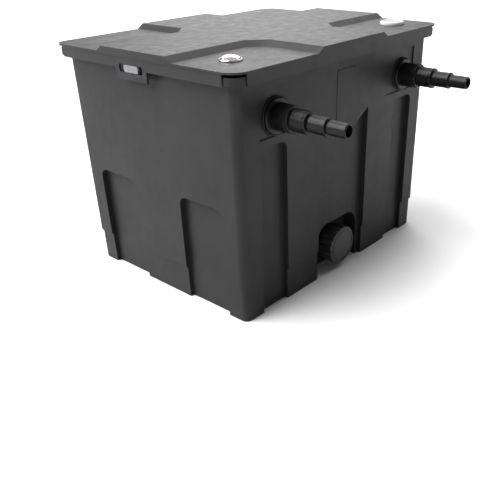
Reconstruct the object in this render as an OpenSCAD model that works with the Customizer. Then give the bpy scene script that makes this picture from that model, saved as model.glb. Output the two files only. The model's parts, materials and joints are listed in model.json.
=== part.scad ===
// Flow-through pond filter box: tub, lift-off lid, stepped hose tails, drain, foam cartridges and media.
// Origin: middle of the footprint on the ground. X runs along the length, -Y is the side with the hose tails.

/* [Lid] */
// Length of the lid along X
lid_l = 530; // [525:1:540]
// Width of the lid along Y
lid_w = 415; // [410:1:425]
// Height of the low corner fields of the lid above the ground
lid_top = 392; // [385:1:400]
// Thickness of the lid plate
lid_t = 3; // [2.5:0.5:4]
// Corner radius of the lid
lid_r = 26; // [20:1:30]
// Rise of the raised cross above the corner fields
cross_rise = 8; // [5:1:10]
// Half width of the cross arm that runs along Y, at its foot
cross_half_x = 91; // [80:1:100]
// Half width of the cross arm that runs along X, at its foot
cross_half_y = 85; // [75:1:95]
// Run of the cross's ramps for each millimetre of rise
cross_ramp = 1.5; // [1:0.1:2]
// Cut across the inner corner of each low field
field_cut = 22; // [10:1:30]
// Depth of the skirt below the low fields
skirt_h = 19.5; // [18:0.5:21]

/* [Tub] */
// Outside length of the tub along X
tub_l = 500; // [492:1:502]
// Outside width of the tub along Y
tub_w = 384; // [376:1:386]
// Wall thickness
wall = 4; // [3.5:0.5:4.5]
// Radius of the upright corners
tub_r = 14; // [12:1:18]
// Height of the set-back foot band
foot_h = 57; // [50:1:62]
// Set-back of the foot band
foot_in = 3; // [2:0.5:4]
// Depth of the wall panels
panel_d = 10; // [8:1:12]
// Depth of the flat seats around the hose tails
seat_d = 2; // [1:0.5:3]

/* [Drain niche] */
// Half width of the niche
niche_half = 57; // [50:1:60]
// Height of the niche
niche_h = 94; // [90:1:94]
// Depth of the niche from the wall face
niche_d = 36; // [34:1:38]
// Radius of the niche's upper corners
niche_r = 28; // [20:1:34]
// Height of the drain above the ground
drain_z = 44; // [43:0.5:46]

/* [Hose tails] */
// Distance of each hose tail from the middle
tail_x = 170; // [168:1:172]
// Height of the hose tails
tail_z = 317; // [314:1:320]
// Radius of the largest hose step
hose_r1 = 20; // [19.5:0.5:20]
// Radius of the second hose step
hose_r2 = 16; // [15.5:0.5:17]
// Radius of the third hose step
hose_r3 = 12.5; // [12:0.5:13]
// Radius of the smallest hose step
hose_r4 = 10; // [9.5:0.5:10.5]

/* [Latches] */
// Place of each latch along its short wall
latch_y = 8; // [0:1:12]
// Travel of the latch slider
latch_travel = 9; // [7:0.5:9.5]

/* [Lid instruments] */
// Place of the fouling indicator
indicator_at = [-201, -138];
// Place of the thermometer
thermo_at = [206, -143];

/* [Inside] */
// X of the partition's first face
partition_x = 84; // [82:1:86]
// Height of the partition's upper edge
partition_h = 330; // [310:1:335]
// Height of the plate over the sump
deck_z = 100; // [99:1:104]
// Length of a foam block along X
foam_l = 140; // [130:1:141]
// Width of a foam block along Y
foam_w = 150; // [140:1:154]
// Top of the foam blocks
foam_top = 300; // [290:1:302]
// Outside radius of a core tube
core_r = 25; // [20:1:28]
// Radius of a media ball
ball_r = 18.5; // [16:0.5:18.5]

/* [Outlet] */
// Outside radius of the outlet stub
outlet_r = 37.5; // [35:0.5:38]
// Place of the outlet along X
outlet_x = 155; // [150:1:160]
// Height of the outlet
outlet_z = 262; // [255:1:264]
// Length of the stub outside its flange
outlet_len = 46; // [40:1:50]

/* [Hidden] */
$fn = 64;

tub_grey = "#3f3f43";
lid_grey = "#6e6e6c";
fitting_black = "#17171a";
seal_black = "#222222";
pvc_grey = "#8b9096";

// heights
lid_under = lid_top - lid_t;
seal_h = 4;
rim_top = lid_under - seal_h;
rim_t = 3;
rim_out = 8.5;
floor_t = 5;
deck_t = 5;

// skirt
skirt_back = 1.5;
skirt_t = 3;
skirt_x = lid_l / 2 - skirt_back;
skirt_y = lid_w / 2 - skirt_back;
skirt_low = lid_top - skirt_h;
corner_open = 24;

// latch, measured on the left side
window_w = 54;
window_h = 11.5;
window_z = skirt_low + 0.3;
tongue_half = 36;
tongue_low = 356;
plate_t = 2.5;
plate_gap = 0.2;
rail_out = 4.6;
rail_t = 2;
lip_t = 1.5;
lip_h = 2.5;
upper_rail_z = 379.3;
lower_rail_z = 362.2;
bolt_z = 369;
bolt_h = 7;
ledge_z = bolt_z + bolt_h + 0.8;
ledge_t = 3.2;
ledge_out = 4.5;

// wall panels
side_in = 147;
side_out = 206;
side_top = 276;
short_in = 56;
short_out = 150;
short_top = 185;
centre_half = 67;
centre_peak = 281;
tongue_u = 30;
tongue_z = 258;
seat_in = 140;
seat_out = 206;
seat_ramp = 30;
seat_low = 288;
seat_high = 360;

// fittings
seat_y = tub_w / 2 - seat_d;
gasket_t = 3;
thread_r = 21;
bore_gap = 0.2;
niche_y = tub_w / 2 - niche_d;
drain_thread_r = 20;
drain_stub_r = 24;
cap_r = 35;

// hose tails: ends of the flange and of the four steps, measured from the seat
flange_r = 27;
gasket_r = 28.5;
step_0 = 8;
step_1 = 38;
step_2 = 66;
step_3 = 97;
step_4 = 129;
collar_h = 0.9;
barb_w = 3;
barb_h = 0.5;
barb_pitch = 4.6;
barb_start = 3;

// cartridges
foam_xs = [-150, 0];
foam_ys = [-84, 84];
deck_top = deck_z + deck_t;
socket_h = 12;
foam_low = deck_top + socket_h;

function arc(cx, cy, r, a0, a1, n = 6) =
  [for (i = [0:n]) [cx + r * cos(a0 + (a1 - a0) * i / n), cy + r * sin(a0 + (a1 - a0) * i / n)]];
function rounded(l, w, r, n = 6) = concat(
  arc(l / 2 - r, w / 2 - r, r, 0, 90, n),
  arc(r - l / 2, w / 2 - r, r, 90, 180, n),
  arc(r - l / 2, r - w / 2, r, 180, 270, n),
  arc(l / 2 - r, r - w / 2, r, 270, 360, n));

module slab(l, w, r, z0, z1) {
  translate([0, 0, z0]) linear_extrude(z1 - z0) polygon(rounded(l, w, r, 8));
}

module block(x0, x1, y0, y1, z0, z1) {
  translate([x0, y0, z0]) cube([x1 - x0, y1 - y0, z1 - z0]);
}

// extrudes an outline drawn in wall coordinates: across the wall and up, cut to a depth from its face
module on_wall(turn, half, depth, out = 12) {
  rotate([0, 0, turn]) translate([0, -half, 0]) rotate([90, 0, 0])
    translate([0, 0, -depth]) linear_extrude(depth + out) children();
}

module panel_outline(u0, u1, top, r) {
  polygon(concat([[u0, -2], [u1, -2]], arc(u1 - r, top - r, r, 0, 90), arc(u0 + r, top - r, r, 90, 180)));
}

module side_panel(s, g) {
  scale([s, 1]) panel_outline(side_in - g, side_out + g, side_top + g, 12 + g);
}

module short_panel(s, g) {
  scale([s, 1]) panel_outline(short_in - g, short_out + g, short_top + g, 14 + g);
}

// the centre panel's head follows a tongue with slanted shoulders
module centre_panel(g) {
  slope = (centre_peak - tongue_z) / (centre_half - tongue_u);
  lift = g * sqrt(1 + slope * slope);
  half = centre_half + g;
  peak = centre_peak + slope * g + lift;
  inner = tongue_u + (g - lift) / slope;
  polygon([[-half, -2], [half, -2], [half, peak], [inner, tongue_z + g], [-inner, tongue_z + g], [-half, peak]]);
}

module seat_outline(s, g, inner) {
  scale([s, 1]) translate([inner - g, seat_low - g])
    square([seat_out - inner + 2 * g, seat_high - seat_low + 2 * g]);
}

// the seat fades out into the wall on its inner side
module seat_fade(s) {
  outer_face = -tub_w / 2;
  start = seat_in - seat_ramp;
  scale([s, 1, 1]) translate([0, 0, seat_low]) linear_extrude(seat_high - seat_low)
    polygon([[start, outer_face - 1], [seat_in + 0.5, outer_face - 1], [seat_in + 0.5, -seat_y], [seat_in, -seat_y],
      [start, outer_face]]);
}

// every hollow pressed into the walls; g grows it for the inside face
module wall_hollows(g) {
  for (turn = [-90, 90]) {
    on_wall(turn, tub_l / 2, panel_d + g) short_panel(1, g);
    on_wall(turn, tub_l / 2, panel_d + g) short_panel(-1, g);
  }
  for (turn = [0, 180]) {
    on_wall(turn, tub_w / 2, panel_d + g) centre_panel(g);
    on_wall(turn, tub_w / 2, panel_d + g) side_panel(1, g);
  }
  on_wall(0, tub_w / 2, panel_d + g) side_panel(-1, g);
  for (s = [-1, 1])
    on_wall(0, tub_w / 2, seat_d + g) seat_outline(s, g, g > 0 ? seat_in - seat_ramp : seat_in);
  on_wall(0, tub_w / 2, niche_d + g) panel_outline(-niche_half - g, niche_half + g, niche_h + g, niche_r + g);
}

module cavity(gap) {
  in = 2 * (wall + gap);
  difference() {
    union() {
      slab(tub_l - in - 2 * foot_in, tub_w - in - 2 * foot_in, tub_r - wall, floor_t, foot_h + wall + 1);
      slab(tub_l - in, tub_w - in, tub_r - wall, foot_h + wall, rim_top + 1);
    }
    wall_hollows(wall + gap);
  }
}

// outward rim, interrupted where the latches pass
module rim() {
  difference() {
    slab(tub_l + 2 * rim_out, tub_w + 2 * rim_out, tub_r + rim_out - 2, rim_top - rim_t, rim_top);
    for (s = [-1, 1])
      block(min(s * tub_l / 2, s * lid_l / 2), max(s * tub_l / 2, s * lid_l / 2),
        latch_y - 42, latch_y + 42, rim_top - rim_t - 1, rim_top + 1);
  }
}

// blocks that fill the open corners of the skirt
module corner_blocks() {
  intersection() {
    slab(2 * skirt_x - 2, 2 * skirt_y - 2, lid_r - 3, skirt_low + 1.5, rim_top);
    for (sx = [-1, 1], sy = [-1, 1])
      scale([sx, sy, 1])
        block(skirt_x - corner_open + 3, skirt_x, skirt_y - corner_open + 3, skirt_y, 300, rim_top);
  }
}

// ledge that a locked latch slides under
module latch_ledge() {
  block(-tub_l / 2 - ledge_out, -tub_l / 2 + 1, latch_y + 6, latch_y + 20, ledge_z, ledge_z + ledge_t);
}

// grooves that hold the partition
module partition_rails() {
  rail = 4.7;
  for (s = [-1, 1], x = [partition_x - 0.3 - rail, partition_x + wall + 0.3])
    scale([1, s, 1])
      block(x, x + rail, tub_w / 2 - wall - 8, tub_w / 2 - wall + 0.5, foot_h + wall, partition_h);
}

module tub() {
  color(tub_grey) union() {
    difference() {
      union() {
        slab(tub_l - 2 * foot_in, tub_w - 2 * foot_in, tub_r - foot_in, 0, foot_h + 1);
        slab(tub_l, tub_w, tub_r, foot_h, rim_top);
        rim();
        corner_blocks();
        latch_ledge();
        mirror([1, 0, 0]) latch_ledge();
        block(-24, 26, -tub_w / 2 - 0.8, -tub_w / 2 + 1, tongue_z + 6, 355);
      }
      wall_hollows(0);
      seat_fade(1);
      seat_fade(-1);
      cavity(0);
      for (s = [-1, 1])
        translate([s * tail_x, -tub_w / 2 + 8, tail_z]) rotate([90, 0, 0]) cylinder(h = 20, r = thread_r + bore_gap);
      translate([outlet_x, tub_w / 2 + 8, outlet_z]) rotate([90, 0, 0]) cylinder(h = 20, r = outlet_r + bore_gap);
      translate([0, -niche_y + 8, drain_z]) rotate([90, 0, 0]) cylinder(h = 20, r = drain_thread_r + bore_gap);
    }
    partition_rails();
  }
}

// one low corner field with ramped sides, as the space above it; grow widens it
module field_space(drop, grow) {
  up = cross_rise + 3;
  run = up * cross_ramp;
  z0 = lid_top - drop;
  foot_x = cross_half_x + grow;
  foot_y = cross_half_y + grow;
  cut = (foot_x + foot_y + field_cut) / sqrt(2);
  intersection() {
    field_side(foot_x, run, up, z0);
    rotate([0, 0, 90]) field_side(foot_y, run, up, z0);
    rotate([0, 0, 45]) field_side(cut, run, up, z0);
  }
}

// everything beyond a ramp that starts at the given distance
module field_side(foot, run, up, z0) {
  translate([0, lid_l, 0]) rotate([90, 0, 0]) linear_extrude(2 * lid_l)
    polygon([[foot, z0], [foot - run, z0 + up], [lid_l, z0 + up], [lid_l, z0]]);
}

module four_fields(drop, grow) {
  for (sx = [-1, 1], sy = [-1, 1]) scale([sx, sy, 1]) field_space(drop, grow);
}

// guide rails for a latch slider, left side
module latch_rails() {
  x0 = -skirt_x + skirt_t - 0.5;
  x1 = -skirt_x + skirt_t + rail_out;
  for (rail = [[upper_rail_z, upper_rail_z - lip_h], [lower_rail_z, lower_rail_z + rail_t]]) {
    block(x0, x1, latch_y - 24, latch_y + 24 + latch_travel, rail[0], rail[0] + rail_t);
    block(x1 - lip_t, x1, latch_y - 24, latch_y + 24 + latch_travel, rail[1], rail[1] + lip_h);
  }
}

module latch_tongue() {
  block(-skirt_x, -skirt_x + skirt_t, latch_y - tongue_half, latch_y + tongue_half, tongue_low, skirt_low + 1);
}

module latch_window() {
  translate([-skirt_x - 2, latch_y, window_z]) rotate([90, 0, 90])
    linear_extrude(skirt_t + 3) polygon(rounded(window_w, window_h, 3.5, 4));
}

module lid() {
  color(lid_grey) union() {
    difference() {
      union() {
        slab(lid_l, lid_w, lid_r, lid_under, lid_top + cross_rise);
        difference() {
          slab(2 * skirt_x, 2 * skirt_y, lid_r - skirt_back, skirt_low, lid_under + 1);
          slab(2 * (skirt_x - skirt_t), 2 * (skirt_y - skirt_t), lid_r - 5, skirt_low - 1, lid_under + 2);
          for (sx = [-1, 1], sy = [-1, 1])
            scale([sx, sy, 1])
              block(skirt_x - corner_open, lid_l, skirt_y - corner_open, lid_w, skirt_low - 1, lid_under);
        }
        latch_tongue();
        mirror([1, 0, 0]) latch_tongue();
      }
      four_fields(0, 0);
      difference() {
        slab(tub_l - 15, tub_w - 15, 10, lid_under - 1, lid_top + cross_rise - lid_t);
        four_fields(lid_t, -0.9);
        for (sx = [-1, 1], sy = [-1, 1])
          scale([sx, sy, 1]) block(cross_half_x, lid_l, cross_half_y, lid_w, lid_under - 2, lid_top);
      }
      latch_window();
      mirror([1, 0, 0]) latch_window();
      translate([indicator_at[0], indicator_at[1], lid_under - 1]) cylinder(h = 10, r = 12 + bore_gap);
      translate([thermo_at[0], thermo_at[1], lid_under - 1]) cylinder(h = 10, r = 5 + bore_gap);
    }
    latch_rails();
    mirror([1, 0, 0]) latch_rails();
  }
}

module lid_seal() {
  color(seal_black) difference() {
    slab(tub_l, tub_w, tub_r, rim_top, lid_under);
    slab(tub_l - 2 * wall, tub_w - 2 * wall, tub_r - wall, rim_top - 1, lid_under + 1);
  }
}

module latch_slider() {
  back = -skirt_x + skirt_t + plate_gap;
  union() {
    translate([-skirt_x + plate_gap, latch_y, window_z]) rotate([90, 0, 90])
      linear_extrude(skirt_t + 0.5) polygon(rounded(33, window_h - 1, 2.5, 4));
    block(back, back + plate_t, latch_y - 15, latch_y + 15, lower_rail_z + rail_t + 0.3, upper_rail_z - 0.3);
    block(back + plate_t - 0.5, -tub_l / 2 - 1, latch_y - 4, latch_y + 4, bolt_z, bolt_z + bolt_h);
  }
}

module latch_slider_left() {
  color("#b9bbc0") latch_slider();
}

module latch_slider_right() {
  color("#b9bbc0") mirror([1, 0, 0]) latch_slider();
}

module at_indicator() {
  translate([indicator_at[0], indicator_at[1], lid_top]) children();
}

module indicator_bezel() {
  color("#c9ccd0") at_indicator() rotate_extrude() polygon([
    [3.3, -14], [12, -14], [12, 0], [17, 0], [17, 1.6], [16, 3], [10, 3], [10, -11], [3.3, -11]]);
}

module indicator_dome() {
  foot = 15.5;
  rise = 5;
  shell = 1.2;
  ball = (foot * foot + rise * rise) / (2 * rise);
  color([0.9, 0.95, 1, 0.4]) at_indicator() translate([0, 0, 3]) difference() {
    translate([0, 0, rise - ball]) sphere(r = ball);
    translate([0, 0, rise - ball]) sphere(r = ball - shell);
    translate([0, 0, -50]) cube([200, 200, 100], center = true);
  }
}

module indicator_float() {
  color("#c8201c") at_indicator() rotate_extrude() polygon([
    [0, -52], [11, -52], [12, -51], [12, -29], [11, -28], [3, -28], [3, -11], [8.5, -11], [8.5, -2], [7, 0], [0, 0]]);
}

module at_thermometer() {
  translate([thermo_at[0], thermo_at[1], lid_top]) children();
}

module thermometer_case() {
  color("#f2f2ee") at_thermometer() rotate_extrude() polygon([
    [0, -50], [4, -50], [5, -49], [5, 0], [21.5, 0], [21.5, 4.2], [20.2, 5.6], [19.05, 5.6], [19.05, 4.4],
    [18, 4.4], [18, 1.5], [0, 1.5]]);
}

module thermometer_dial() {
  color("#fafaf6") at_thermometer() union() {
    translate([0, 0, 1.5]) cylinder(h = 0.8, r = 17.9);
    translate([0, 0, 2]) cylinder(h = 1.9, r = 0.75, $fn = 32);
  }
}

module thermometer_needle() {
  color("#b01818") at_thermometer() translate([0, 0, 2.6]) difference() {
    union() {
      cylinder(h = 0.8, r = 2.2, $fn = 32);
      translate([-0.6, 0, 0]) cube([1.2, 14.5, 0.8]);
      translate([-0.9, -6, 0]) cube([1.8, 6, 0.8]);
    }
    translate([0, 0, -1]) cylinder(h = 3, r = 0.8, $fn = 32);
  }
}

module thermometer_lens() {
  color([0.9, 0.95, 1, 0.4]) at_thermometer() translate([0, 0, 4.4]) cylinder(h = 1, r = 18.95);
}

module hex_nut(across, t, bore) {
  difference() {
    cylinder(h = t, r = across / sqrt(3), $fn = 6);
    translate([0, 0, -1]) cylinder(h = t + 2, r = bore);
  }
}

module thermometer_nut() {
  color(pvc_grey) at_thermometer() translate([0, 0, -lid_t - 5]) hex_nut(16, 5, 5.05);
}

// barbs on one hose step, as outline points [radius, distance]
function barbs(r, z0, n) =
  [for (k = [0:n - 1]) each [
    [r, z0 + barb_start + k * barb_pitch],
    [r + barb_h, z0 + barb_start + k * barb_pitch],
    [r, z0 + barb_start + k * barb_pitch + barb_w]]];

// collar at the end of a step, and the drop to the next radius
function collar(r, next, z1) =
  [[r, z1 - 4], [r + collar_h, z1 - 3.6], [r + collar_h, z1 - 0.6], [r + collar_h - 0.6, z1], [next, z1 + 0.4]];

function tail_outline() = concat(
  [[thread_r, -20], [thread_r, gasket_t], [flange_r, gasket_t], [flange_r, 6], [flange_r - 1.5, step_0]],
  [[hose_r1, step_0], [hose_r1, step_1 - 6], [hose_r1 - 1.2, step_1 - 5.4], [hose_r1 - 1.2, step_1 - 4.6]],
  [[hose_r1, step_1 - 4], [hose_r1, step_1 - 0.8], [hose_r1 - 0.8, step_1], [hose_r2, step_1 + 0.4]],
  barbs(hose_r2, step_1, 4),
  collar(hose_r2, hose_r3, step_2),
  barbs(hose_r3, step_2, 5),
  collar(hose_r3, hose_r4, step_3),
  barbs(hose_r4, step_3, 5),
  [[hose_r4, step_4 - 1], [hose_r4 - 1, step_4], [8, step_4], [8, step_3 + 2], [hose_r3 - 2.4, step_3 - 2]],
  [[hose_r3 - 2.4, step_2 + 2], [hose_r2 - 2.6, step_2 - 2], [hose_r2 - 2.6, step_1 + 2]],
  [[hose_r1 - 2.8, step_1 - 3], [hose_r1 - 2.8, -20]]);

module at_tail(s) {
  translate([s * tail_x, -seat_y, tail_z]) rotate([90, 0, 0]) children();
}

module inlet_tail(s) {
  color(fitting_black) at_tail(s) rotate_extrude() polygon(tail_outline());
}

module inlet_gasket(s) {
  color(seal_black) at_tail(s) difference() {
    cylinder(h = gasket_t, r = gasket_r);
    translate([0, 0, -1]) cylinder(h = gasket_t + 2, r = thread_r + bore_gap);
  }
}

module inlet_locknut(s) {
  color(fitting_black) at_tail(s) translate([0, 0, -wall - 8]) hex_nut(54, 8, thread_r + 0.05);
}

module inlet_tail_left() inlet_tail(-1);
module inlet_tail_right() inlet_tail(1);
module inlet_gasket_left() inlet_gasket(-1);
module inlet_gasket_right() inlet_gasket(1);
module inlet_locknut_left() inlet_locknut(-1);
module inlet_locknut_right() inlet_locknut(1);

// outlet parts point to +Y
module at_outlet() {
  translate([outlet_x, tub_w / 2, outlet_z]) rotate([-90, 0, 0]) children();
}

module outlet_spigot() {
  end = gasket_t + 6 + outlet_len;
  color(fitting_black) at_outlet() rotate_extrude() polygon([
    [outlet_r, -24], [outlet_r, gasket_t], [47, gasket_t], [47, gasket_t + 4], [45, gasket_t + 6],
    [outlet_r, gasket_t + 6], [outlet_r, end - 2], [outlet_r - 1.5, end], [outlet_r - 3.5, end],
    [outlet_r - 3.5, -24]]);
}

module outlet_gasket() {
  color(seal_black) at_outlet() difference() {
    cylinder(h = gasket_t, r = 48.5);
    translate([0, 0, -1]) cylinder(h = gasket_t + 2, r = outlet_r + bore_gap);
  }
}

module outlet_locknut() {
  color(fitting_black) at_outlet() translate([0, 0, -wall - 10]) hex_nut(92, 10, outlet_r + 0.05);
}

// drain parts point to -Y, measured from the back wall of the niche
module at_drain() {
  translate([0, -niche_y, drain_z]) rotate([90, 0, 0]) children();
}

module drain_spigot() {
  color(fitting_black) at_drain() rotate_extrude() polygon([
    [17, -20], [drain_thread_r, -20], [drain_thread_r, gasket_t], [30, gasket_t], [30, 8], [drain_stub_r, 8],
    [drain_stub_r, 32], [17, 32]]);
}

module drain_gasket() {
  color(seal_black) at_drain() difference() {
    cylinder(h = gasket_t, r = 31);
    translate([0, 0, -1]) cylinder(h = gasket_t + 2, r = drain_thread_r + bore_gap);
  }
}

module drain_locknut() {
  color(fitting_black) at_drain() translate([0, 0, -wall - 8]) hex_nut(52, 8, drain_thread_r + 0.05);
}

module drain_cap() {
  flutes = 20;
  color("#4a4a4c") at_drain() difference() {
    rotate_extrude() polygon([
      [0, 34], [drain_stub_r + 0.3, 34], [drain_stub_r + 0.3, 11], [cap_r - 1, 11], [cap_r, 12], [cap_r, 37],
      [cap_r - 2, 39], [29, 39], [29, 38], [27, 38], [27, 39], [0, 39]]);
    for (k = [0:flutes - 1])
      rotate([0, 0, k * 360 / flutes]) translate([cap_r + 1.4, 0, 10]) cylinder(h = 30, r = 2.8, $fn = 24);
  }
}

module drain_cap_seal() {
  color(seal_black) at_drain() translate([0, 0, 32]) difference() {
    cylinder(h = 2, r = drain_stub_r - 0.2);
    translate([0, 0, -1]) cylinder(h = 4, r = 15);
  }
}

// divider between the foam chamber and the media chamber, open at the sump
module partition() {
  gap = 0.3;
  half = tub_w / 2 - wall - gap;
  low = half - foot_in;
  color("#55565a") translate([partition_x, 0, 0]) rotate([90, 0, 90]) linear_extrude(wall) polygon([
    [-low, floor_t], [-120, floor_t], [-120, 80], [120, 80], [120, floor_t], [low, floor_t],
    [low, foot_h + wall + 1], [half, foot_h + wall + 1], [half, partition_h], [-half, partition_h],
    [-half, foot_h + wall + 1], [-low, foot_h + wall + 1]]);
}

module cartridge_plate() {
  right = partition_x - 5.6;
  color("#55565a") difference() {
    union() {
      intersection() {
        cavity(0.6);
        block(-tub_l / 2, right, -tub_w / 2, tub_w / 2, deck_z, deck_top);
      }
      for (x = foam_xs, y = foam_ys)
        translate([x, y, deck_z + 1]) cylinder(h = deck_t - 1 + socket_h, r = core_r + 4);
    }
    for (x = foam_xs, y = foam_ys) {
      translate([x, y, deck_top]) cylinder(h = socket_h + 1, r = core_r + 0.5);
      translate([x, y, deck_z - 1]) cylinder(h = deck_t + 2, r = core_r - 3);
    }
  }
}

module deck_posts() {
  color(pvc_grey)
    for (p = [[-205, -150], [-205, 150], [-75, 0], [60, -110], [60, 150], [115, -120], [115, 120], [212, -120], [212, 120]])
      translate([p[0], p[1], floor_t]) cylinder(h = deck_z - floor_t, r = 10);
}

module media_grid() {
  left = partition_x + wall + 6;
  slots = 12;
  pitch = 26;
  color("#55565a") difference() {
    intersection() {
      cavity(0.6);
      block(left, tub_l / 2, -tub_w / 2, tub_w / 2, deck_z, deck_top);
    }
    for (k = [0:slots - 1])
      block(left + 10, left + 62, (k - (slots - 1) / 2) * pitch - 6, (k - (slots - 1) / 2) * pitch + 6,
        deck_z - 1, deck_top + 1);
    for (k = [0:slots - 1])
      block(left + 70, left + 122, (k - (slots - 1) / 2) * pitch - 6, (k - (slots - 1) / 2) * pitch + 6,
        deck_z - 1, deck_top + 1);
  }
}

module media_balls() {
  columns = 3;
  rows = 8;
  layers = 3;
  color("#2c5fa8")
    for (i = [0:columns - 1], j = [0:rows - 1], k = [0:layers - 1])
      translate([partition_x + 26 + i * 44 + (k % 2) * 5, (j - (rows - 1) / 2) * 41, deck_top + ball_r + k * 2 * ball_r])
        sphere(r = ball_r, $fn = 32);
}

module at_cartridge(i) {
  translate([foam_xs[i % 2], foam_ys[floor(i / 2)], 0]) children();
}

module foam_block(i) {
  color(i % 2 == 0 ? "#2f5f9e" : "#d8c23a") at_cartridge(i) difference() {
    translate([0, 0, foam_low]) linear_extrude(foam_top - foam_low) polygon(rounded(foam_l, foam_w, 6, 3));
    translate([0, 0, foam_low - 1]) cylinder(h = foam_top - foam_low + 2, r = core_r + 0.5);
  }
}

module core_tube(i) {
  rows = 6;
  color(pvc_grey) at_cartridge(i) difference() {
    translate([0, 0, deck_top]) cylinder(h = foam_top - deck_top, r = core_r);
    translate([0, 0, deck_top - 1]) cylinder(h = foam_top - deck_top + 2, r = core_r - 3);
    for (k = [0:rows - 1], turn = [0, 90])
      translate([0, 0, foam_low + 14 + k * 27]) rotate([0, 0, turn + 45 * (k % 2)]) rotate([90, 0, 0])
        translate([0, 0, -core_r - 5]) cylinder(h = 2 * core_r + 10, r = 5, $fn = 24);
  }
}

module core_cap(i) {
  color("#2a2a2c") at_cartridge(i) translate([0, 0, foam_top]) union() {
    cylinder(h = 4, r = 42);
    translate([0, 0, -10]) cylinder(h = 11, r = core_r - 3.3);
    translate([0, 0, 13]) rotate([90, 0, 0]) rotate_extrude() translate([13, 0]) circle(r = 3, $fn = 24);
  }
}

module foam_block_1() foam_block(0);
module core_tube_1() core_tube(0);
module core_cap_1() core_cap(0);
module foam_block_2() foam_block(1);
module core_tube_2() core_tube(1);
module core_cap_2() core_cap(1);
module foam_block_3() foam_block(2);
module core_tube_3() core_tube(2);
module core_cap_3() core_cap(2);
module foam_block_4() foam_block(3);
module core_tube_4() core_tube(3);
module core_cap_4() core_cap(3);

tub();
lid();
lid_seal();
latch_slider_left();
latch_slider_right();
indicator_bezel();
indicator_dome();
indicator_float();
thermometer_case();
thermometer_dial();
thermometer_needle();
thermometer_lens();
thermometer_nut();
inlet_tail_left();
inlet_gasket_left();
inlet_locknut_left();
inlet_tail_right();
inlet_gasket_right();
inlet_locknut_right();
outlet_spigot();
outlet_gasket();
outlet_locknut();
drain_spigot();
drain_gasket();
drain_locknut();
drain_cap();
drain_cap_seal();
partition();
cartridge_plate();
deck_posts();
media_grid();
media_balls();
foam_block_1();
core_tube_1();
core_cap_1();
foam_block_2();
core_tube_2();
core_cap_2();
foam_block_3();
core_tube_3();
core_cap_3();
foam_block_4();
core_tube_4();
core_cap_4();
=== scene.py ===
import json
import math
import random

import bmesh
import bpy
from mathutils import Matrix, Vector, noise


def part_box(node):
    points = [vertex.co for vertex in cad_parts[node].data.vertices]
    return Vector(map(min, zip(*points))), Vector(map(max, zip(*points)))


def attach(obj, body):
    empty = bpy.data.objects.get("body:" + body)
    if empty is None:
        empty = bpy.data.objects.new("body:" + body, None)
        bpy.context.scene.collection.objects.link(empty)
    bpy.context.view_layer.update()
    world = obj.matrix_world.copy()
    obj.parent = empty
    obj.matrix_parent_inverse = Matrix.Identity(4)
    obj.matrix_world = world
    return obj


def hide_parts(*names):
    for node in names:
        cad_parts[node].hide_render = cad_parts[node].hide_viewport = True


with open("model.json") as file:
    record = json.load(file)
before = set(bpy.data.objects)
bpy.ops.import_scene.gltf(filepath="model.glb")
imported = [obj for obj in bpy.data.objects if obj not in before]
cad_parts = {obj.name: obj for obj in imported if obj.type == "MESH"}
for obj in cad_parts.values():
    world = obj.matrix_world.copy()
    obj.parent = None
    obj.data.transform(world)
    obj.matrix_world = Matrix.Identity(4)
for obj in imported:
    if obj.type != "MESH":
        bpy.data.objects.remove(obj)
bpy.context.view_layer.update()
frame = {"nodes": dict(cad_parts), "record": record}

MM = 0.001
NODES = frame["nodes"]


# ---------------------------------------------------------------- small helpers

def add_object(name, data):
    made = bpy.data.objects.new(name, data)
    bpy.context.scene.collection.objects.link(made)
    return made


def body_of(name):
    return next(b for b, members in frame["record"]["behaviour"]["bodies"].items() if name in members)


def slot_of(name):
    return next(s["material_slot"] for s in frame["record"]["subparts"] if s["node"] == name)


def shade_smooth(mesh, smooth=True):
    for face in mesh.polygons:
        face.use_smooth = smooth


def add_stand_in(name, mesh, replaced):
    """An object that stands for a CAD node, on the node's body; the node itself is hidden."""
    piece = add_object(name, mesh)
    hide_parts(replaced)
    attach(piece, body_of(replaced))
    return piece


# ---------------------------------------------------------------- shader helpers

MIX_FACTOR, MIX_UNDER, MIX_OVER, MIX_RESULT = 0, 6, 7, 2    # the colour sockets of a Mix node


def new_material(name):
    made = bpy.data.materials.new(name)
    made.use_nodes = True
    tree = made.node_tree
    return made, tree, tree.nodes["Principled BSDF"]


def set_inputs(shader, **values):
    """Sets sockets by name, with an underscore for each space."""
    for key, value in values.items():
        shader.inputs[key.replace("_", " ")].default_value = value


def node(tree, kind, **values):
    made = tree.nodes.new(kind)
    for key, value in values.items():
        if key in made.inputs:
            made.inputs[key].default_value = value
        else:
            setattr(made, key, value)
    return made


def object_coords(tree):
    return node(tree, "ShaderNodeTexCoord").outputs["Object"]


def noise_field(tree, coords, scale, detail=3.0, rough=0.5):
    made = node(tree, "ShaderNodeTexNoise", Scale=scale, Detail=detail, Roughness=rough)
    tree.links.new(coords, made.inputs["Vector"])
    return made.outputs["Fac"]


def remap(tree, value, low_in, high_in, low, high):
    made = node(tree, "ShaderNodeMapRange")
    set_inputs(made, From_Min=low_in, From_Max=high_in, To_Min=low, To_Max=high)
    tree.links.new(value, made.inputs["Value"])
    return made.outputs["Result"]


def mix(tree, factor, under, over):
    """Mixes a colour over another one, which is a colour or another node's output."""
    made = node(tree, "ShaderNodeMix", data_type="RGBA")
    tree.links.new(factor, made.inputs[MIX_FACTOR])
    if isinstance(under, tuple):
        made.inputs[MIX_UNDER].default_value = (*under, 1)
    else:
        tree.links.new(under, made.inputs[MIX_UNDER])
    made.inputs[MIX_OVER].default_value = (*over, 1)
    return made.outputs[MIX_RESULT]


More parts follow.
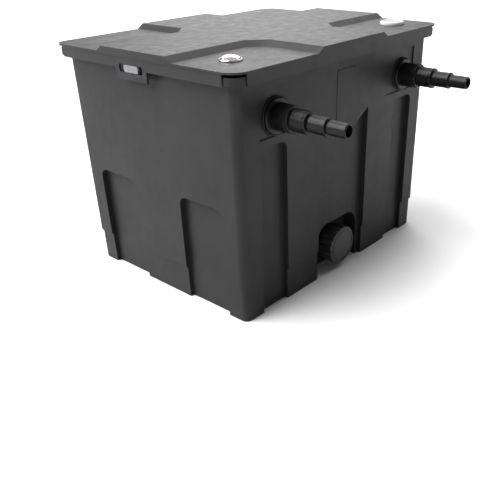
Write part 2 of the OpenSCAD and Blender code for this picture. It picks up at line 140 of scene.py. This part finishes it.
def bump(tree, height, depth, base=None, **settings):
    """A bump of a given depth in metres, on top of another bump if one is given."""
    made = node(tree, "ShaderNodeBump", Strength=1.0, Distance=depth, **settings)
    tree.links.new(height, made.inputs["Height"])
    if base:
        tree.links.new(base, made.inputs["Normal"])
    return made.outputs["Normal"]


def scaled(colour, factor, lift=0.0):
    return tuple(min(1.0, c * factor + lift) for c in colour)


# ---------------------------------------------------------------- camera

IMAGE_PX = 500
SENSOR_MM = 36.0
CAMERA_AT = Vector((-0.8356, -0.7815, 0.5616))
CAMERA_YAW = 48.728      # degrees from +Y towards +X
CAMERA_DOWN = 29.552     # degrees below level
CAMERA_ROLL = -1.205
FOCAL_PX = 627.7
CAMERA_SHIFT = (-0.0643, 0.0482)


def make_camera():
    yaw, down, roll = (math.radians(a) for a in (CAMERA_YAW, CAMERA_DOWN, CAMERA_ROLL))
    forward = Vector((math.sin(yaw) * math.cos(down), math.cos(yaw) * math.cos(down), -math.sin(down)))
    right = Vector((math.cos(yaw), -math.sin(yaw), 0))
    up = right.cross(forward)
    turned = right * math.cos(roll) + up * math.sin(roll)
    up = up * math.cos(roll) - right * math.sin(roll)
    data = bpy.data.cameras.new("camera")
    data.sensor_width = SENSOR_MM
    data.lens = FOCAL_PX / IMAGE_PX * SENSOR_MM
    data.shift_x, data.shift_y = CAMERA_SHIFT
    data.clip_start, data.clip_end = 0.01, 50
    camera = add_object("camera", data)
    basis = Matrix((turned, up, -forward)).transposed()
    camera.matrix_world = Matrix.Translation(CAMERA_AT) @ basis.to_4x4()
    bpy.context.scene.camera = camera


# ---------------------------------------------------------------- light and floor

HORIZON = (0.15, 0.30)      # sine of the height where the pale horizon starts and stops fading
SKY_LIGHT = 0.10
FLOOR_HALF = 50.0
FLOOR_GREY = (0.80, 0.80, 0.80)


def add_light(name, kind, at, aim, energy, spread):
    """A sun, with its spread in degrees, or a round area light, with its width in metres."""
    data = bpy.data.lights.new(name, kind)
    data.energy = energy
    if kind == "SUN":
        data.angle = math.radians(spread)
    else:
        data.shape = "DISK"
        data.size = spread
    light = add_object(name, data)
    light.location = at
    light.rotation_euler = (Vector(aim) - Vector(at)).to_track_quat("-Z", "Y").to_euler()


def make_world():
    """A pale band at the horizon under a darker sky, so the floor has no edge."""
    world = bpy.data.worlds.new("studio")
    bpy.context.scene.world = world
    world.use_nodes = True
    tree = world.node_tree
    back = tree.nodes["Background"]
    back.inputs["Color"].default_value = (1, 1, 1, 1)
    split = node(tree, "ShaderNodeSeparateXYZ")
    tree.links.new(node(tree, "ShaderNodeTexCoord").outputs["Generated"], split.inputs[0])
    tree.links.new(remap(tree, split.outputs["Z"], *HORIZON, 1.0, SKY_LIGHT), back.inputs["Strength"])


def make_floor():
    mesh = bpy.data.meshes.new("floor")
    corners = [(x * FLOOR_HALF, y * FLOOR_HALF, 0) for x, y in ((-1, -1), (1, -1), (1, 1), (-1, 1))]
    mesh.from_pydata(corners, [], [(0, 1, 2, 3)])
    floor = add_object("floor", mesh)
    pale, _, shader = new_material("floor_pale")
    set_inputs(shader, Base_Color=(*FLOOR_GREY, 1), Roughness=0.8)
    floor.data.materials.append(pale)


def make_studio():
    bpy.context.scene.view_settings.view_transform = "Standard"
    bpy.context.scene.view_settings.look = "Medium High Contrast"
    make_world()
    middle, box_middle = (0, 0, 0), (0, 0, 0.35)
    add_light("key", "SUN", (-0.80, 0.70, 1.20), middle, 4.9, 60)
    add_light("top", "SUN", (0.60, 0.30, 1.0), middle, 1.75, 70)
    add_light("backdrop", "AREA", (2.2, 2.2, 2.0), box_middle, 21.0, 2.4)
    make_floor()


# ---------------------------------------------------------------- materials

def moulded(name, colour, rough, grain=1400.0, grain_depth=0.02, mottle=0.12, wear=0.25, coat=0.0,
            specular=0.5, streaks=0.0):
    """Moulded plastic: fine grain, slow colour mottling, scuffs on the edges and faint upright streaks."""
    made, tree, shader = new_material(name)
    coords = object_coords(tree)
    slow = noise_field(tree, coords, 9.0, 4.0)
    middle = noise_field(tree, coords, 60.0, 5.0, 0.6)
    fine = noise_field(tree, coords, grain, 2.0)
    dark, light = scaled(colour, 1 - mottle), scaled(colour, 1 + mottle, 0.004)
    scuff = scaled(colour, 1.9, 0.05)
    base = mix(tree, remap(tree, slow, 0.3, 0.7, 0, 1), dark, light)
    if wear:
        geometry = node(tree, "ShaderNodeNewGeometry")
        edge = remap(tree, geometry.outputs["Pointiness"], 0.51, 0.60, 0, 1)
        broken = node(tree, "ShaderNodeMath", operation="MULTIPLY")
        tree.links.new(edge, broken.inputs[0])
        tree.links.new(remap(tree, middle, 0.45, 0.70, 0, wear), broken.inputs[1])
        base = mix(tree, broken.outputs[0], base, scuff)
    if streaks:
        stretched = node(tree, "ShaderNodeMapping", Scale=(1, 1, 0.06))
        tree.links.new(coords, stretched.inputs["Vector"])
        run = noise_field(tree, stretched.outputs["Vector"], 70.0, 4.0)
        base = mix(tree, remap(tree, run, 0.52, 0.8, 0, streaks), base, scuff)
    tree.links.new(base, shader.inputs["Base Color"])
    tree.links.new(remap(tree, middle, 0.3, 0.7, rough - 0.06, rough + 0.08), shader.inputs["Roughness"])
    set_inputs(shader, Specular_IOR_Level=specular, Coat_Weight=coat, Coat_Roughness=0.12)
    warp = bump(tree, noise_field(tree, coords, 14.0, 1.0), 0.35 * MM)
    tree.links.new(bump(tree, fine, grain_depth * MM, warp), shader.inputs["Normal"])
    return made


def rubber(name, colour):
    return moulded(name, colour, 0.75, grain=900.0, grain_depth=0.05, wear=0.1)


def foam(name, colour, cell):
    """Open-cell foam, with cells of a size in millimetres: sunken pits darkened with painted shade between
    lighter struts, and stains.
    """
    made, tree, shader = new_material(name)
    coords = object_coords(tree)
    cells = node(tree, "ShaderNodeTexVoronoi", feature="DISTANCE_TO_EDGE", Scale=1 / (cell * MM))
    tree.links.new(coords, cells.inputs["Vector"])
    # the pits' mask, for the bump below and for painted shade: the middle of each cell is darkened to stand
    # for the shade inside the open cells
    pit = remap(tree, cells.outputs["Distance"], 0.02, 0.22, 0, 1)
    base = mix(tree, pit, colour, scaled(colour, 0.12))
    stain = remap(tree, noise_field(tree, coords, 22.0, 4.0), 0.5, 0.85, 0, 0.5)
    tree.links.new(mix(tree, stain, base, (0.10, 0.085, 0.05)), shader.inputs["Base Color"])
    set_inputs(shader, Roughness=0.95, Sheen_Weight=0.25, Sheen_Roughness=0.6)
    tree.links.new(bump(tree, pit, 0.9 * MM, invert=True), shader.inputs["Normal"])
    return made


def clear_plastic(name):
    """Clear cover with a faint uneven haze."""
    made, tree, shader = new_material(name)
    set_inputs(shader, Transmission_Weight=1.0, IOR=1.49, Base_Color=(0.97, 0.98, 1.0, 1))
    haze = remap(tree, noise_field(tree, object_coords(tree), 240.0, 4.0), 0.4, 0.8, 0.02, 0.12)
    tree.links.new(haze, shader.inputs["Roughness"])
    return made


def metal(name, colour, rough):
    """Bright metal with smears in its colour and gloss."""
    made, tree, shader = new_material(name)
    set_inputs(shader, Metallic=1.0)
    smear = noise_field(tree, object_coords(tree), 90.0, 5.0)
    tree.links.new(mix(tree, smear, colour, scaled(colour, 0.82)), shader.inputs["Base Color"])
    tree.links.new(remap(tree, smear, 0.3, 0.7, rough * 0.6, rough * 1.6), shader.inputs["Roughness"])
    return made


def make_materials():
    return {
        "tub_plastic": moulded("tub_plastic", (0.028, 0.028, 0.029), 0.42, grain_depth=0.03, mottle=0.05,
                               wear=0.0, streaks=0.03, specular=0.20),
        "lid_plastic": moulded("lid_plastic", (0.0285, 0.0285, 0.0285), 0.42, grain_depth=0.03, mottle=0.05,
                               wear=0.0, specular=0.24),
        "seal_rubber": rubber("seal_rubber", (0.012, 0.012, 0.012)),
        "latch_plastic": moulded("latch_plastic", (0.16, 0.16, 0.18), 0.25, coat=0.3, wear=0.15),
        "indicator_metal": metal("indicator_metal", (0.86, 0.87, 0.88), 0.12),
        "clear_cover": clear_plastic("clear_cover"),
        "float_red": moulded("float_red", (0.55, 0.012, 0.015), 0.25, coat=0.5, wear=0.0),
        "thermometer_white": moulded("thermometer_white", (0.64, 0.64, 0.63), 0.35, wear=0.1, mottle=0.03),
        "dial_face": moulded("dial_face", (0.40, 0.40, 0.395), 0.45, wear=0.0, mottle=0.02),
        "dial_ink": moulded("dial_ink", (0.015, 0.015, 0.018), 0.5, wear=0.0),
        "needle_red": moulded("needle_red", (0.55, 0.02, 0.02), 0.35, wear=0.0),
        "fitting_plastic": moulded("fitting_plastic", (0.006, 0.006, 0.007), 0.34, grain_depth=0.012, wear=0.0,
                                   mottle=0.05, specular=0.30),
        "cap_plastic": moulded("cap_plastic", (0.040, 0.040, 0.041), 0.42, wear=0.2, mottle=0.06),
        "inner_dark": moulded("inner_dark", (0.040, 0.040, 0.044), 0.5),
        "inner_grey": moulded("inner_grey", (0.27, 0.28, 0.30), 0.38),
        "foam_coarse": foam("foam_coarse", (0.030, 0.105, 0.36), 4.2),
        "foam_fine": foam("foam_fine", (0.62, 0.47, 0.07), 2.6),
        "media_blue": moulded("media_blue", (0.016, 0.080, 0.30), 0.35, wear=0.1),
    }


# ---------------------------------------------------------------- CAD nodes

def soften(obj, width, segments, angle=28):
    """Rounds the edges of a CAD node with modifiers; the mesh itself stays as it is."""
    weld = obj.modifiers.new("weld", "WELD")
    weld.merge_threshold = 0.005 * MM
    flat = obj.modifiers.new("flat", "DECIMATE")
    flat.decimate_type = "DISSOLVE"
    flat.angle_limit = math.radians(0.4)
    bevel = obj.modifiers.new("bevel", "BEVEL")
    bevel.width = width * MM
    bevel.segments = segments
    bevel.limit_method = "ANGLE"
    bevel.angle_limit = math.radians(angle)
    bevel.use_clamp_overlap = True
    normals = obj.modifiers.new("normals", "WEIGHTED_NORMAL")
    normals.weight = 100
    normals.keep_sharp = False
    shade_smooth(obj.data)


# edge radius in millimetres and its steps; other nodes get FINE_EDGE
FINE_EDGE = (0.4, 2)
SOFT_EDGES = {
    "tub": (1.6, 3), "lid": (1.3, 3), "drain_cap": (0.7, 2), "latch_slider_left": (0.8, 2),
    "latch_slider_right": (0.8, 2), "partition": (0.8, 2), "cartridge_plate": (0.7, 2),
    "media_grid": (0.6, 2),
}


def dress_cad(materials):
    for name, obj in NODES.items():
        obj.data.materials.clear()
        obj.data.materials.append(materials[slot_of(name)])
        soften(obj, *SOFT_EDGES.get(name, FINE_EDGE))


# ---------------------------------------------------------------- foam blocks

COARSE_CELL = 5.5 * MM
FINE_CELL = 4.0 * MM
CELL_REACH = 0.55
SKIN_DEPTH = 0.25 * MM
PIT_DEPTH = 0.9 * MM
SWELL_DEPTH = 0.7 * MM
SWELL_SCALE = 28.0


def copy_of(name, *modifiers):
    """The node's mesh in a new mesh, after the given modifiers: pairs of a kind and its settings."""
    scratch = add_object("scratch", NODES[name].data.copy())
    for kind, settings in modifiers:
        made = scratch.modifiers.new(kind.lower(), kind)
        for key, value in settings.items():
            setattr(made, key, value)
    graph = bpy.context.evaluated_depsgraph_get()
    mesh = bpy.data.meshes.new_from_object(scratch.evaluated_get(graph))
    bpy.data.objects.remove(scratch)
    return mesh


def make_foam(name, materials):
    """Sawn foam: a soft uneven skin with open cells, all inside the block's own outline."""
    cell = COARSE_CELL if slot_of(name) == "foam_coarse" else FINE_CELL
    mesh = copy_of(name, ("WELD", {"merge_threshold": 0.01 * MM}),
                   ("REMESH", {"mode": "VOXEL", "voxel_size": 3 * MM}))
    points = bmesh.new()
    points.from_mesh(mesh)
    bmesh.ops.smooth_vert(points, verts=points.verts, factor=0.5,
                          use_axis_x=True, use_axis_y=True, use_axis_z=True)
    points.normal_update()
    for vert in points.verts:
        at = vert.co
        distances, _ = noise.voronoi(at / cell)
        pit = max(0.0, 1.0 - distances[0] / CELL_REACH)
        swell = noise.noise(at * SWELL_SCALE) * 0.5 + 0.5
        vert.co = at - vert.normal * (SKIN_DEPTH + PIT_DEPTH * pit + SWELL_DEPTH * swell)
    points.to_mesh(mesh)
    points.free()
    shade_smooth(mesh)
    mesh.materials.clear()
    mesh.materials.append(materials[slot_of(name)])
    add_stand_in(name + "_cells", mesh, name)


# ---------------------------------------------------------------- media balls

RIM = 0.3 * MM              # softened edge of every plate in a ball
BALL_GAP = 0.15 * MM
BALL_FINS = 5
RING_HEIGHTS = (-0.52, 0.52)


def add_disc(made, place, radius, thick, sides=20, hole=0.0):
    """A thin round plate with a soft rim, set into the mesh by a matrix; with a hole, it is a flat ring."""
    rings = [(radius - RIM, -thick / 2), (radius, -thick / 4), (radius, thick / 4), (radius - RIM, thick / 2)]
    if hole:
        rings += [(hole, thick / 2), (hole, -thick / 2)]
    loops = []
    for r, z in rings:
        loops.append([made.verts.new(place @ Vector((r * math.cos(a), r * math.sin(a), z)))
                      for a in (2 * math.pi * i / sides for i in range(sides))])
    pairs = list(zip(loops, loops[1:]))
    if hole:
        pairs.append((loops[-1], loops[0]))
    for low, high in pairs:
        for i in range(sides):
            j = (i + 1) % sides
            made.faces.new((low[i], low[j], high[j], high[i]))
    if not hole:
        made.faces.new(list(reversed(loops[0])))
        made.faces.new(loops[-1])


def ball_mesh(radius):
    """One ribbed ball: fins through its axis, a waist plate and a ring on each side of it."""
    made = bmesh.new()
    for k in range(BALL_FINS):
        turn = Matrix.Rotation(math.pi * k / BALL_FINS, 4, "Z") @ Matrix.Rotation(math.pi / 2, 4, "X")
        add_disc(made, turn, radius, 1.0 * MM)
    add_disc(made, Matrix.Identity(4), radius, 1.6 * MM, 28)
    for height in RING_HEIGHTS:
        reach = radius * math.sqrt(1 - height * height) - RIM
        add_disc(made, Matrix.Translation((0, 0, height * radius)), reach, 1.2 * MM, 24, reach * 0.55)
    return made


def ball_places():
    """Centre and radius of each ball: every loose part of the CAD node is one sphere."""
    made = bmesh.new()
    made.from_mesh(NODES["media_balls"].data)
    bmesh.ops.remove_doubles(made, verts=made.verts, dist=0.02 * MM)
    seen, places = set(), []
    for start in made.verts:
        if start.index in seen:
            continue
        stack, group = [start], []
        seen.add(start.index)
        while stack:
            vert = stack.pop()
            group.append(vert.co.copy())
            for edge in vert.link_edges:
                other = edge.other_vert(vert)
                if other.index not in seen:
                    seen.add(other.index)
                    stack.append(other)
        low = Vector(min(c[i] for c in group) for i in range(3))
        high = Vector(max(c[i] for c in group) for i in range(3))
        places.append(((low + high) / 2, (high.x - low.x) / 2))
    made.free()
    return places


def make_balls(materials):
    dice = random.Random(7)
    places = ball_places()
    one = ball_mesh(min(radius for _, radius in places) - BALL_GAP)
    one.verts.index_update()
    ball_verts = [v.co.copy() for v in one.verts]
    ball_faces = [[v.index for v in f.verts] for f in one.faces]
    one.free()
    verts, faces = [], []
    for centre, _ in places:
        axis = Vector((dice.uniform(-1, 1), dice.uniform(-1, 1), dice.uniform(-1, 1) + 0.01))
        turn = Matrix.Rotation(dice.uniform(0, math.tau), 3, axis)
        first = len(verts)
        verts += [centre + turn @ v for v in ball_verts]
        faces += [[first + i for i in f] for f in ball_faces]
    mesh = bpy.data.meshes.new("media_balls_ribbed")
    mesh.from_pydata(verts, [], faces)
    mesh.materials.append(materials["media_blue"])
    add_stand_in("media_balls_ribbed", mesh, "media_balls")


# ---------------------------------------------------------------- thermometer dial

DIAL_START = -60.0          # degrees from the dial's top, clockwise
DIAL_SWEEP = 180.0
DIAL_TOP_VALUE = 45
NUMBER_STEP = 10
INK = 0.12 * MM
ARC_INK = 0.1 * MM
ARC_FROM, ARC_TO, ARC_STEPS = 0.945, 0.975, 48
TICK_END = 0.93
TICKS = {"long": (0.78, 0.55 * MM), "half": (0.82, 0.4 * MM), "short": (0.86, 0.22 * MM)}   # start and width
NUMBER_RADIUS = 0.62
NUMBER_SIZE = 4.2 * MM


def dial_angle(value):
    return DIAL_START + value * DIAL_SWEEP / DIAL_TOP_VALUE


class Dial:
    """The thermometer's face: where its middle is, how far it reaches and how high it lies."""

    def __init__(self):
        low, high = (Vector(c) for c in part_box("thermometer_dial"))
        self.middle = (low + high) / 2
        self.face_z = low.z + 0.8 * MM
        self.reach = (high.x - low.x) / 2

    def spot(self, angle, part, lift=0.0):
        """A point on the face, by its angle and its part of the reach."""
        a, r = math.radians(angle), part * self.reach
        return Vector((self.middle.x + r * math.sin(a), self.middle.y + r * math.cos(a), self.face_z + lift))


def add_tick(made, dial, value):
    kind = "long" if value % NUMBER_STEP == 0 else "half" if value % 5 == 0 else "short"
    start, width = TICKS[kind]
    angle = dial_angle(value)
    a = math.radians(angle)
    side = Vector((math.cos(a), -math.sin(a), 0)) * width / 2
    inner, outer = dial.spot(angle, start), dial.spot(angle, TICK_END)
    ring = [inner - side, outer - side, outer + side, inner + side]
    lower = [made.verts.new(c) for c in ring]
    upper = [made.verts.new(c + Vector((0, 0, INK))) for c in ring]
    made.faces.new(upper)
    made.faces.new(list(reversed(lower)))
    for i in range(4):
        j = (i + 1) % 4
        made.faces.new((lower[i], lower[j], upper[j], upper[i]))


def add_arc(made, dial):
    rows = []
    for i in range(ARC_STEPS + 1):
        angle = DIAL_START + DIAL_SWEEP * i / ARC_STEPS
        rows.append([made.verts.new(dial.spot(angle, part, lift)) for part, lift in
                     ((ARC_FROM, 0.0), (ARC_FROM, ARC_INK), (ARC_TO, ARC_INK), (ARC_TO, 0.0))])
    for first, second in zip(rows, rows[1:]):
        for k in range(4):
            m = (k + 1) % 4
            made.faces.new((first[k], second[k], second[m], first[m]))
    made.faces.new(rows[0])
    made.faces.new(list(reversed(rows[-1])))


def add_dial_mesh(name, made, material):
    mesh = bpy.data.meshes.new(name)
    made.to_mesh(mesh)
    made.free()
    piece = add_object(name, mesh)
    mesh.materials.append(material)
    shade_smooth(mesh, False)
    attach(piece, body_of("thermometer_dial"))


def add_number(dial, value, material):
    text = bpy.data.curves.new(f"dial_number_{value}", "FONT")
    text.body = str(value)
    text.size = NUMBER_SIZE
    text.extrude = 0.05 * MM
    text.align_x = "CENTER"
    text.align_y = "CENTER"
    text.materials.append(material)
    piece = add_object(f"dial_number_{value}", text)
    piece.location = dial.spot(dial_angle(value), NUMBER_RADIUS, 0.06 * MM)
    piece.rotation_euler = (0, 0, -math.radians(dial_angle(value)))
    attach(piece, body_of("thermometer_dial"))


def make_dial(materials):
    """Tick marks, a coloured scale arc and plain numbers on the thermometer's face."""
    dial = Dial()
    ticks, arc = bmesh.new(), bmesh.new()
    for value in range(DIAL_TOP_VALUE + 1):
        add_tick(ticks, dial, value)
    add_arc(arc, dial)
    add_dial_mesh("dial_ticks", ticks, materials["dial_ink"])
    add_dial_mesh("dial_arc", arc, materials["needle_red"])
    for value in range(0, DIAL_TOP_VALUE + 1, NUMBER_STEP):
        add_number(dial, value, materials["dial_ink"])


# ---------------------------------------------------------------- build

materials = make_materials()
make_camera()
make_studio()
dress_cad(materials)
for block in ("foam_block_1", "foam_block_2", "foam_block_3", "foam_block_4"):
    make_foam(block, materials)
make_balls(materials)
make_dial(materials)
